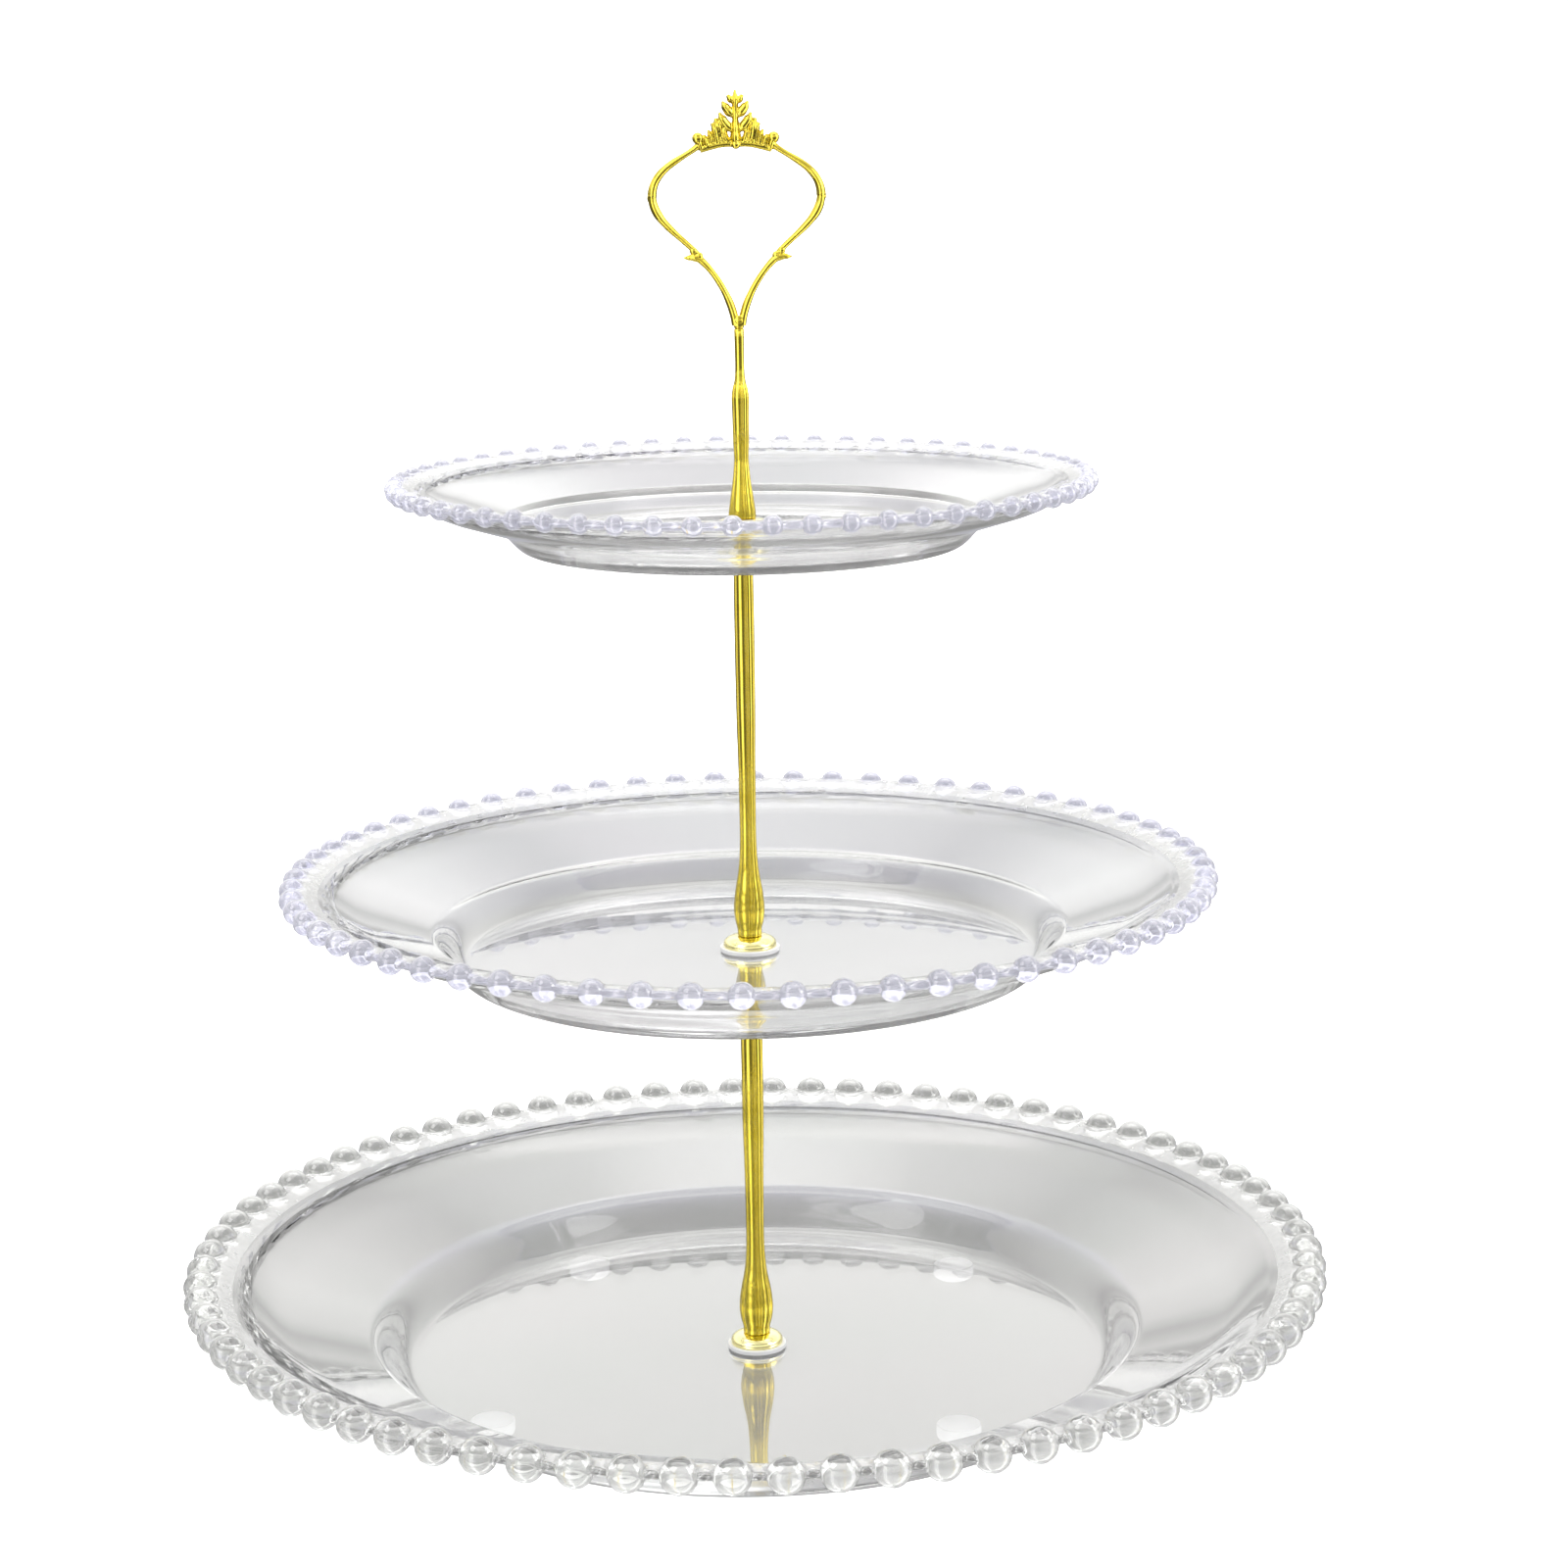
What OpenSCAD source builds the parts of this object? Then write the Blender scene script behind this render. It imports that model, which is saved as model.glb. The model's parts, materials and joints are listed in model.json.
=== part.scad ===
// Three-tier cake stand.
//
// Three round dishes of clear pressed glass, each with a ring of beads round its
// edge, are threaded on one metal stem.  The stem comes apart into a lower column,
// a middle column and a crowned ring handle, which screw together through the
// dishes and clamp each one between two washers and two soft gaskets.  The origin
// is on the table under the axis of the stem, +Z is up, and the handle's ring lies
// in the XZ plane.  All sizes are in millimetres.

/* [Plates] */
// Diameter of the bottom plate over its beads
bottom_plate_d = 330; // [310:5:340]
// Diameter of the middle plate over its beads
middle_plate_d = 266; // [250:2:276]
// Diameter of the top plate over its beads
top_plate_d = 198; // [190:2:206]
// Thickness of the glass
glass_t = 3; // [2.6:0.2:3.4]
// Thickness of the raised edge that carries the beads
edge_t = 2.4; // [2:0.1:2.6]
// Height of the bottom plate's ring of beads over its floor
bottom_rise = 28.5; // [26:0.5:30]
// Height of the middle plate's ring of beads over its floor
middle_rise = 22.2; // [20:0.2:24]
// Height of the top plate's ring of beads over its floor
top_rise = 14.7; // [13.5:0.1:16]

/* [Beads] */
// Radius of a bead of the bottom plate
bottom_bead_r = 5; // [4.6:0.1:5.6]
// Number of beads round the bottom plate
bottom_beads = 76; // [60:4:80]
// Radius of a bead of the middle plate
middle_bead_r = 3.6; // [3.2:0.1:4]
// Number of beads round the middle plate
middle_beads = 64; // [50:1:70]
// Radius of a bead of the top plate
top_bead_r = 2.8; // [2.5:0.1:3]
// Number of beads round the top plate
top_beads = 60; // [45:1:65]

/* [Stem] */
// Length of each column
column_l = 109.9; // [90:0.1:130]
// Length of the handle's plain stem
handle_stem_l = 52.6; // [45:0.1:60]
// Number of flutes round a column
flutes = 8; // [6:1:10]
// Depth of the flutes as a share of the column's radius
flute_depth = 0.07; // [0.03:0.01:0.1]
// Radius of the studs and of the bolt
stud_r = 1.5; // [1.3:0.1:1.7]

/* [Washers and gaskets] */
// Diameter of the washers
washer_d = 15.2; // [14:0.2:17]
// Height of a domed washer
dome_h = 3; // [2.6:0.1:4]
// Thickness of a flat washer
flat_washer_t = 1.6; // [1.2:0.1:1.6]
// Diameter of the gaskets
gasket_d = 17; // [16:0.1:18]
// Thickness of a gasket
gasket_t = 1.3; // [1:0.1:1.3]

/* [Feet] */
// Height of a stick-on foot
foot_h = 4.5; // [4.5:0.1:6]
// Diameter of a foot
foot_d = 12.5; // [10:0.5:14]
// Mean distance of the feet from the stem's axis
foot_at = 89; // [70:1:89]

/* [Hidden] */

GLASS = [0.86, 0.88, 0.88, 0.5];
GOLD = [0.78, 0.68, 0.18];
SILICONE = [0.95, 0.95, 0.93];

// Radii of the holes round the studs
plate_hole_r = 3;
gasket_hole_r = 2;
washer_hole_r = 1.8;
// Radial clearance of a stud in its threaded socket
thread_gap = 0.05;
// Length of a stud inside each column, inside the handle, and of the bolt
socket_l = 11;
handle_socket_l = 6;
bolt_head_r = 4.5;
bolt_head_h = 1.3;

// Heights of the faces that stack up along the stem
under_stack = gasket_t + flat_washer_t;
over_stack = gasket_t + dome_h;
bottom_floor = foot_h + glass_t;
lower_column_z = bottom_floor + over_stack;
tier = column_l + over_stack + under_stack + glass_t;
middle_floor = bottom_floor + tier;
middle_column_z = lower_column_z + tier;
top_floor = middle_floor + tier;
handle_z = middle_column_z + tier;
loop_z = handle_z + handle_stem_l;

// ---- Plates ----------------------------------------------------------------

// Smooth step from 0 to 1
function ease(t) = (1 - cos(180 * t)) / 2;

// Height of a plate's upper face over its floor at a share of the plate's radius:
// level floor, the curve of the well, then the sloping rim up to the step of the edge.
function dish_height(share, rise, bead_r) =
    let (floor_end = 0.605, well_end = 0.68, rim_end = 0.92,
         well_h = 0.4 * rise, rim_h = rise - 0.5 * bead_r)
    share < floor_end ? 0
    : share < well_end ? well_h * ease((share - floor_end) / (well_end - floor_end) * 0.86) / ease(0.86)
    : well_h + (rim_h - well_h) * (share - well_end) / (rim_end - well_end);

// Radii, as shares of the plate's, at which the section has a point
dish_shares = concat([for (i = [0:8]) 0.605 + i * 0.0094], [0.70, 0.78, 0.86, 0.92]);

// The glass without its beads.  A step at the end of the rim leads up to a level edge.
module dish(d, rise, bead_r) {
    edge_r = d / 2 - bead_r + 1;
    land_h = rise + edge_t / 2;
    upper = [for (s = dish_shares) [s * d / 2, dish_height(s, rise, bead_r)]];
    step = upper[len(upper) - 1];
    lower = [for (p = upper) [p[0] + glass_t * 0.22, p[1] - glass_t]];
    rotate_extrude($fn = 180)
        polygon(concat(
            [[plate_hole_r, -glass_t], [plate_hole_r, 0]],
            upper,
            [step + [(land_h - step[1]) * 0.35, land_h - step[1]],
             [edge_r, land_h], [edge_r, land_h - edge_t], [edge_r - bead_r, land_h - edge_t]],
            [for (i = [len(lower) - 1:-1:0]) lower[i]]));
}

// A whole plate; first_bead is the angle of one of its beads round the stem
module plate(d, rise, bead_r, beads, first_bead, floor_z) {
    color(GLASS) translate([0, 0, floor_z]) {
        dish(d, rise, bead_r);
        for (i = [0:beads - 1])
            rotate([0, 0, first_bead + i * 360 / beads]) translate([d / 2 - bead_r, 0, rise])
                sphere(r = bead_r, $fn = 24);
    }
}

module bottom_plate() {
    plate(bottom_plate_d, bottom_rise, bottom_bead_r, bottom_beads, 270 + 180 / bottom_beads, bottom_floor);
}

module middle_plate() {
    plate(middle_plate_d, middle_rise, middle_bead_r, middle_beads, 269, middle_floor);
}

module top_plate() {
    plate(top_plate_d, top_rise, top_bead_r, top_beads, 268.5, top_floor);
}

// A domed stick-on foot under the bottom plate's floor.  The feet are set by hand,
// so each is a little nearer or farther than the mean distance.
module foot(angle, farther) {
    r = foot_d / 2;
    edge = foot_h * 0.35;
    color(SILICONE) rotate([0, 0, angle]) translate([foot_at + farther, 0, 0]) rotate_extrude($fn = 48)
        polygon(concat([[0, 0]],
                       [for (a = [0:15:90]) [r * 0.62 + r * 0.38 * sin(a), edge * (1 - cos(a))]],
                       [[r, foot_h], [0, foot_h]]));
}

module foot_front_left() { foot(213.4, 0); }
module foot_front_right() { foot(313.6, -8.5); }
module foot_back_left() { foot(124.4, 4); }
module foot_back_right() { foot(48, 3.8); }

// ---- Washers, gaskets, studs and the bolt ----------------------------------

// A flat ring standing on z
module ring(z, d, hole_r, t) {
    translate([0, 0, z]) difference() {
        cylinder(d = d, h = t, $fn = 64);
        translate([0, 0, -1]) cylinder(r = hole_r, h = t + 2, $fn = 32);
    }
}

// A washer with a rounded dome above a thin straight edge
module domed_washer(z) {
    r = washer_d / 2;
    edge_h = dome_h * 0.25;
    top_r = 4;
    color(GOLD) translate([0, 0, z]) rotate_extrude($fn = 96)
        polygon(concat([[washer_hole_r, 0], [r, 0]],
                       [for (a = [0:15:90]) [top_r + (r - top_r) * cos(a), edge_h + (dome_h - edge_h) * sin(a)]],
                       [[washer_hole_r, dome_h]]));
}

module flat_washer(z) { color(GOLD) ring(z, washer_d, washer_hole_r, flat_washer_t); }
module gasket(z) { color(SILICONE) ring(z, gasket_d, gasket_hole_r, gasket_t); }

module base_lower_gasket() { gasket(foot_h - gasket_t); }
module base_lower_washer() { flat_washer(foot_h - under_stack); }
module base_upper_gasket() { gasket(bottom_floor); }
module base_upper_washer() { domed_washer(bottom_floor + gasket_t); }
module middle_lower_gasket() { gasket(middle_floor - glass_t - gasket_t); }
module middle_lower_washer() { flat_washer(middle_floor - glass_t - under_stack); }
module middle_upper_gasket() { gasket(middle_floor); }
module middle_upper_washer() { domed_washer(middle_floor + gasket_t); }
module top_lower_gasket() { gasket(top_floor - glass_t - gasket_t); }
module top_lower_washer() { flat_washer(top_floor - glass_t - under_stack); }
module top_upper_gasket() { gasket(top_floor); }
module top_upper_washer() { domed_washer(top_floor + gasket_t); }

// A threaded stud, drawn as a plain rod
module stud(z0, z1) { color(GOLD) translate([0, 0, z0]) cylinder(r = stud_r, h = z1 - z0, $fn = 32); }

module middle_stud() { stud(lower_column_z + column_l - socket_l, middle_column_z + socket_l); }
module handle_stud() { stud(middle_column_z + column_l - socket_l, handle_z + handle_socket_l); }

// The bolt that comes up through the bottom plate, with a crossed slot in its head
module base_bolt() {
    head_z = foot_h - under_stack - bolt_head_h;
    edge = 0.4;
    slot_w = 1.1;
    slot_l = 5;
    color(GOLD) difference() {
        union() {
            translate([0, 0, head_z]) cylinder(r1 = bolt_head_r - edge, r2 = bolt_head_r, h = edge, $fn = 48);
            translate([0, 0, head_z + edge]) cylinder(r = bolt_head_r, h = bolt_head_h - edge, $fn = 48);
            translate([0, 0, head_z + 1]) cylinder(r = stud_r, h = lower_column_z + socket_l - head_z - 1, $fn = 32);
        }
        for (a = [0, 90])
            rotate([0, 0, a]) translate([-slot_l / 2, -slot_w / 2, head_z - 1]) cube([slot_l, slot_w, 1.7]);
    }
}

// ---- Columns and handle stem -----------------------------------------------

// Outlines from bottom to top: height and diameter
COLUMN = [[0, 7.8], [2, 7.9], [4.5, 9.2], [7.5, 9.9], [10.5, 9.6], [14, 8.6], [18, 7], [22, 6],
          [27, 5.4], [34, 5.3], [50, 5.6], [66, 6.2], [90, 6.4], [110, 6.2]];
HANDLE_STEM = [[0, 7.8], [2, 7.5], [6, 6.4], [10, 5.2], [14, 4.4], [17, 4.1], [21, 4.5],
               [29, 4.7], [33, 4.9], [35.5, 4.3], [38, 3.1], [42, 2.6], [52, 2.8]];

// A fluted solid through an outline, whose cross-section is a soft rosette
module fluted(outline, length, girth = 1) {
    sides = flutes * 4;
    rings = len(outline);
    stretch = length / outline[rings - 1][0];
    points = [for (p = outline, k = [0:sides - 1])
              let (a = k * 360 / sides, r = girth * p[1] / 2 * (1 - flute_depth * (1 - cos(flutes * a)) / 2))
              [r * cos(a), r * sin(a), p[0] * stretch]];
    sides_faces = [for (i = [0:rings - 2], k = [0:sides - 1], half = [0, 1])
                   let (a = i * sides + k, b = i * sides + (k + 1) % sides)
                   half == 0 ? [a, a + sides, b + sides] : [a, b + sides, b]];
    polyhedron(points, concat(sides_faces,
                              [[for (k = [0:sides - 1]) k],
                               [for (k = [sides - 1:-1:0]) (rings - 1) * sides + k]]));
}

module socket(z0, z1) { translate([0, 0, z0]) cylinder(r = stud_r + thread_gap, h = z1 - z0, $fn = 32); }

// A column with a threaded socket in each end
module column(z, girth) {
    color(GOLD) difference() {
        translate([0, 0, z]) fluted(COLUMN, column_l, girth);
        socket(z - 1, z + socket_l + 1);
        socket(z + column_l - socket_l - 1, z + column_l + 1);
    }
}

module lower_column() { column(lower_column_z, 1); }
module middle_column() { column(middle_column_z, 0.89); }

module handle_stem() {
    color(GOLD) difference() {
        translate([0, 0, handle_z]) fluted(HANDLE_STEM, handle_stem_l);
        socket(handle_z - 1, handle_z + handle_socket_l + 0.5);
    }
}

// ---- Crowned ring handle ---------------------------------------------------

// The right half of the ring, as curves with four control points, seen from the
// front: across and up from the foot of the ring.  Each runs to the next.
SHOULDER = [[9.6, 50.2], [13.5, 46.2], [23.1, 44.2], [23.1, 36]];
FLANK = [[23.1, 36], [23.1, 30], [16.5, 26], [11.2, 20.6]];
BRANCH = [[0.9, 0.8], [1.5, 7.6], [6.2, 15.2], [10, 18.6]];
LEAF = [[10, 18.6], [11.6, 20], [13.2, 19.2], [14.9, 19.4]];
CROWN_BASE = 50;
CROWN_T = 2.6;

function bezier(c, t) = pow(1 - t, 3) * c[0] + 3 * pow(1 - t, 2) * t * c[1]
                        + 3 * (1 - t) * t * t * c[2] + t * t * t * c[3];
function curve_points(c, n) = [for (i = [0:n]) bezier(c, i / n)];

// A round bar swept along points in the XZ plane, thick at the middle
module bar(points, r_start, r_mid, r_end) {
    sides = 8;
    n = len(points);
    function turn(i) = let (d = points[min(i + 1, n - 1)] - points[max(i - 1, 0)]) d / norm(d);
    function girth(t) = t < 0.5 ? r_start + (r_mid - r_start) * ease(2 * t)
                                : r_mid + (r_end - r_mid) * ease(2 * t - 1);
    rings = [for (i = [0:n - 1], k = [0:sides - 1])
             let (d = turn(i), r = girth(i / (n - 1)), a = k * 360 / sides)
             [points[i][0] + r * cos(a) * d[1], r * sin(a), points[i][1] - r * cos(a) * d[0]]];
    wall = [for (i = [0:n - 2], k = [0:sides - 1], half = [0, 1])
            let (a = i * sides + k, b = i * sides + (k + 1) % sides)
            half == 0 ? [a, a + sides, b + sides] : [a, b + sides, b]];
    polyhedron(rings, concat(wall, [[for (k = [0:sides - 1]) k],
                                    [for (k = [sides - 1:-1:0]) (n - 1) * sides + k]]));
}

// One petal of the crown's outline: a taper from a base point to a round tip
module petal(base, tip, r) {
    d = (tip - base) / norm(tip - base);
    side = [-d[1], d[0]];
    translate(tip) circle(r = r, $fn = 32);
    polygon([base + side * r * 0.6, base - side * r * 0.6, tip - side * r * 0.98, tip + side * r * 0.98]);
}

// The flat palmette of the crown, seen from the front
module palmette() {
    for (s = [-1, 1]) {
        petal([s * 6.8, -0.8], [s * 7.7, 2], 1);
        petal([s * 4.2, -0.8], [s * 5, 4.6], 2);
        petal([s * 0.6, 3], [s * 3.5, 7.2], 1.1);
        petal([s * 0.4, 7], [s * 2.8, 10.2], 1.1);
        petal([0, 10.5], [s * 1.1, 12.2], 0.75);
    }
    petal([0, 10], [0, 13.1], 1);
    polygon([[-1.5, -0.9], [1.5, -0.9], [0.5, 12], [-0.5, 12]]);
    polygon([[-10.4, -0.2], [-9.4, -2], [-6.5, -1.1], [0, -0.7], [6.5, -1.1], [9.4, -2], [10.4, -0.2],
             [7, 0.6], [0, 1], [-7, 0.6]]);
    translate([0, -0.5]) circle(r = 1.2, $fn = 32);
}

module crown_loop() {
    color(GOLD) translate([0, 0, loop_z]) {
        for (side = [0, 1]) mirror([side, 0, 0]) {
            bar(curve_points(SHOULDER, 10), 0.9, 1.1, 1.55);
            bar(curve_points(FLANK, 10), 1.55, 1.1, 0.7);
            bar(curve_points(BRANCH, 12), 1.05, 0.95, 0.9);
            bar(curve_points(LEAF, 5), 0.9, 1.1, 0.35);
            translate([23.1, 0, 36]) sphere(r = 1.5, $fn = 24);
            translate([10.5, 0, 19.8]) sphere(r = 1.25, $fn = 24);
            translate([10.3, 0, CROWN_BASE + 1.2]) sphere(r = 1.5, $fn = 24);
            translate([9.6, 0, CROWN_BASE]) sphere(r = 1.2, $fn = 24);
        }
        cylinder(r1 = 1.4, r2 = 1.9, h = 2, $fn = 32);
        translate([0, 0, CROWN_BASE + 0.2]) rotate([90, 0, 0])
            translate([0, 0, -CROWN_T / 2]) linear_extrude(CROWN_T) palmette();
    }
}

bottom_plate();
foot_front_left();
foot_front_right();
foot_back_left();
foot_back_right();
base_bolt();
base_lower_washer();
base_lower_gasket();
base_upper_gasket();
base_upper_washer();
lower_column();
middle_lower_washer();
middle_lower_gasket();
middle_plate();
middle_upper_gasket();
middle_upper_washer();
middle_stud();
middle_column();
top_lower_washer();
top_lower_gasket();
top_plate();
top_upper_gasket();
top_upper_washer();
handle_stud();
handle_stem();
crown_loop();
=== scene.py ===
"""Looks of a three-tier cake stand: beaded plates of pressed glass on a gold stem.

Each CAD node but the hidden bolt gets a fine mesh in its own place: turned glass with a ring of
beads, fluted columns, a cast ring handle with a palmette crown, threaded studs, washers, gaskets
and feet.  Lengths are worked in millimetres in the CAD frame (origin on the table under the stem,
+Z up) and turned into metres when a mesh is made.
"""

import json
from math import acos, asin, cos, pi, radians, sin, sqrt, tau

import bpy
from mathutils import Matrix, Vector


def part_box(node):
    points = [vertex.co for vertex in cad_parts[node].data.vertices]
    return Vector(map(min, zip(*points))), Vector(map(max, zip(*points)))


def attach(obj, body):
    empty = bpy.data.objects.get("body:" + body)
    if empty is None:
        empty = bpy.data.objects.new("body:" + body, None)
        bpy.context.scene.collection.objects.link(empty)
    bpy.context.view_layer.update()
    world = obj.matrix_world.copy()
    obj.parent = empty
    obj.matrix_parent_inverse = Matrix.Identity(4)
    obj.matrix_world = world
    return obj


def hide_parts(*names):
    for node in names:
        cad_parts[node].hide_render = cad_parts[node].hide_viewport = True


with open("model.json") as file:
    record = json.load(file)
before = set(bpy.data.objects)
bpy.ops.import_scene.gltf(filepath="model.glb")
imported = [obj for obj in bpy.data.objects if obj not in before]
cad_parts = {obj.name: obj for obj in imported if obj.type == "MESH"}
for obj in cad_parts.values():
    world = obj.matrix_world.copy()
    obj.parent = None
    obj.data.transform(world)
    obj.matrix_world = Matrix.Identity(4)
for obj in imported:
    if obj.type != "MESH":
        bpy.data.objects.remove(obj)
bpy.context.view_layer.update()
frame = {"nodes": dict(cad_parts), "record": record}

MM = 0.001

# Sizes that the CAD model has too, in millimetres
GLASS_T = 3.0
EDGE_T = 2.4
HOLE_R = 3.0
STUD_R = 1.5
SOCKET_R = 1.55
SOCKET_L = 11.0
HANDLE_SOCKET_L = 6.5
THREAD_PITCH = 0.5
WASHER_HOLE_R = 1.8
GASKET_HOLE_R = 2.0
PLATES = {
    "bottom_plate": {"d": 330, "rise": 28.5, "bead_r": 5.0, "beads": 76, "first_bead": 270 + 180 / 76},
    "middle_plate": {"d": 266, "rise": 22.2, "bead_r": 3.6, "beads": 64, "first_bead": 269},
    "top_plate": {"d": 198, "rise": 14.7, "bead_r": 2.8, "beads": 60, "first_bead": 268.5},
}


# ---- Frame --------------------------------------------------------------------------------------


def node_box(node):
    """The low and high corners of a CAD node, in millimetres."""
    low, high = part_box(node)
    return [v / MM for v in low], [v / MM for v in high]


def body_of_node(node):
    """The name of the body that a CAD node rides on."""
    for body, nodes in frame["record"]["behaviour"]["bodies"].items():
        if node in nodes:
            return body
    raise KeyError(node)


def slot_of_node(node):
    """The material slot that the record gives a CAD node."""
    for part in frame["record"]["subparts"]:
        if part["node"] == node:
            return part["material_slot"]
    raise KeyError(node)


def place(node, name, verts, faces, material):
    """Make a mesh piece from millimetres, in the place of a CAD node."""
    mesh = bpy.data.meshes.new(name)
    mesh.from_pydata([(x * MM, y * MM, z * MM) for x, y, z in verts], [], faces)
    mesh.shade_smooth()
    mesh.materials.append(material)
    mesh.update()
    piece = bpy.data.objects.new(name, mesh)
    bpy.context.scene.collection.objects.link(piece)
    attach(piece, body_of_node(node))
    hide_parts(node)
    slot_of_node(node)
    return piece


# ---- Outlines -----------------------------------------------------------------------------------


def ease(t):
    """Smooth step from 0 to 1."""
    t = min(max(t, 0.0), 1.0)
    return (1 - cos(pi * t)) / 2


def rounded(points, radius, steps=5):
    """An open outline whose inner corners are rounded off."""
    out = [points[0]]
    for before, corner, after in zip(points, points[1:], points[2:]):
        a, b, c = Vector(before), Vector(corner), Vector(after)
        cut_a = min(radius, (a - b).length * 0.48)
        cut_c = min(radius, (c - b).length * 0.48)
        start = b + (a - b).normalized() * cut_a
        end = b + (c - b).normalized() * cut_c
        for i in range(steps + 1):
            t = i / steps
            out.append(tuple(start * (1 - t) ** 2 + b * 2 * t * (1 - t) + end * t * t))
    out.append(points[-1])
    return out


def smooth_curve(knots, per_span):
    """Points on a smooth curve through the knots, per_span points to each stretch."""
    pts = [Vector(k) for k in knots]
    ends = [pts[0] * 2 - pts[1]] + pts + [pts[-1] * 2 - pts[-2]]
    out = []
    for p0, p1, p2, p3 in zip(ends, ends[1:], ends[2:], ends[3:]):
        for i in range(per_span):
            t = i / per_span
            straight = (p2 - p0) * t
            bend = (2 * p0 - 5 * p1 + 4 * p2 - p3) * t * t
            twist = (3 * p1 - p0 - 3 * p2 + p3) * t ** 3
            out.append(tuple(0.5 * (2 * p1 + straight + bend + twist)))
    out.append(tuple(pts[-1]))
    return out


def bezier(c, t):
    """A point on a cubic curve with four control points."""
    a, b, d, e = (Vector(p) for p in c)
    return a * (1 - t) ** 3 + b * 3 * (1 - t) ** 2 * t + d * 3 * (1 - t) * t * t + e * t ** 3


# ---- Turned pieces ------------------------------------------------------------------------------


def turned(outline, sides, widen=None, first=0.0):
    """Verts and faces of a solid turned about Z through an outline of (radius, height).

    An outline that starts and ends on the axis is closed there by poles; any other is closed on
    itself as a ring.  widen(angle, radius, height) gives a factor for the radius.
    """
    on_axis = outline[0][0] < 1e-6 and outline[-1][0] < 1e-6
    rings = outline[1:-1] if on_axis else outline
    verts, faces = [], []
    for r, z in rings:
        for k in range(sides):
            a = first + tau * k / sides
            rr = r * (widen(a, r, z) if widen else 1)
            verts.append((rr * cos(a), rr * sin(a), z))
    spans = len(rings) - 1 if on_axis else len(rings)
    for i in range(spans):
        j = (i + 1) % len(rings)
        for k in range(sides):
            m = (k + 1) % sides
            faces.append((i * sides + k, i * sides + m, j * sides + m, j * sides + k))
    if on_axis:
        verts += [(0, 0, outline[0][1]), (0, 0, outline[-1][1])]
        low, high = len(verts) - 2, len(verts) - 1
        last = (len(rings) - 1) * sides
        for k in range(sides):
            m = (k + 1) % sides
            faces.append((low, m, k))
            faces.append((high, last + k, last + m))
    return verts, faces


# ---- Glass plates -------------------------------------------------------------------------------

# Rows of points across a plate, as shares of its half width
FLOOR_SHARES = [0.62 * i / 8 for i in range(1, 8)]
WELL_SHARES = [0.59 + 0.1 * i / 22 for i in range(23)]
RIM_SHARES = [0.70 + 0.2 * i / 10 for i in range(11)]
LIFT_START = 0.84
EDGE_START = 0.905

# Counts of points on the fine edge
EDGE_STEPS = 10
LOWER_POINTS = 7
ROUND_STEPS = 22
BEAD_COLUMNS = 6
SIDES_PER_BEAD = 2
# Rows of the land from this one out get the rough glass whose white base colour is painted refraction
PAINTED_REFRACTION_START = 3

# How far out the lower face lies from the upper one, as a share of the thickness
WALL_SLANT = 0.22
LIP_ROUND = 0.4


def dish_height(share, rise, bead_r):
    """Height of the upper face over the floor: level floor, curved well, then the sloping rim."""
    floor_end, well_end, rim_end, cut = 0.605, 0.68, 0.92, 0.86
    well_h = 0.4 * rise
    rim_h = rise - 0.5 * bead_r
    if share < floor_end:
        return 0.0
    if share < well_end:
        return well_h * ease((share - floor_end) / (well_end - floor_end) * cut) / ease(cut)
    return well_h + (rim_h - well_h) * (share - well_end) / (rim_end - well_end)


def upper_face(node):
    """A plate's upper face, as a function of a share of its half width, and the share where it ends.

    Near the edge the face rises in a curve to meet the top of the edge that carries the beads.
    """
    size = PLATES[node]
    bead_r, rise = size["bead_r"], size["rise"]
    half_d = size["d"] / 2
    land_share = (half_d - bead_r - bead_r) / half_d
    lift = rise + EDGE_T / 2 - dish_height(land_share, rise, bead_r)

    def face(share):
        height = dish_height(share, rise, bead_r)
        return share * half_d, height + lift * ease((share - LIFT_START) / (land_share - LIFT_START))

    return face, land_share


def lower_face(upper):
    """The under side of a stretch of the upper face."""
    return [(r + GLASS_T * WALL_SLANT, h - GLASS_T) for r, h in upper]


def dish_outline(face):
    """The dish inside its edge: in along the upper face, round the hole, out along the lower face."""
    upper = [face(s) for s in FLOOR_SHARES + WELL_SHARES + RIM_SHARES]
    lower = lower_face(upper)
    lip = rounded([upper[0], (HOLE_R, 0), (HOLE_R, -GLASS_T), lower[0]], LIP_ROUND, 4)[1:-1]
    return list(reversed(upper)) + lip + lower


def bead_angles(bead_r, ring_r, beads):
    """Angles from a bead's middle towards the next one's, and the edge's half thickness at each.

    The steps are close where the bead curves away into the edge that carries it.
    """
    half = EDGE_T / 2
    meet = acos(half / bead_r)
    pitch = tau / beads
    inside = [bead_r * sin(meet * i / BEAD_COLUMNS) / ring_r for i in range(BEAD_COLUMNS + 1)]
    angles = inside + [pitch / 2] + [pitch - a for a in reversed(inside[1:])]
    radii = [sqrt(bead_r ** 2 - (a * ring_r) ** 2) for a in inside]
    return angles, radii + [half] + list(reversed(radii[1:]))


def edge_outline(node, radius, inner_up, inner_low):
    """One column of the edge: the end of the rim, round the edge or bead, and back under the rim.

    radius is the edge's half thickness in this column.
    """
    size = PLATES[node]
    ring_r = size["d"] / 2 - size["bead_r"]
    start = pi - asin(min(EDGE_T / 2 / radius, 1.0))
    turns = [start * (1 - 2 * i / ROUND_STEPS) for i in range(ROUND_STEPS + 1)]
    bead = [(ring_r + radius * cos(t), size["rise"] + radius * sin(t)) for t in turns]
    return inner_up + bead + inner_low


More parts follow.
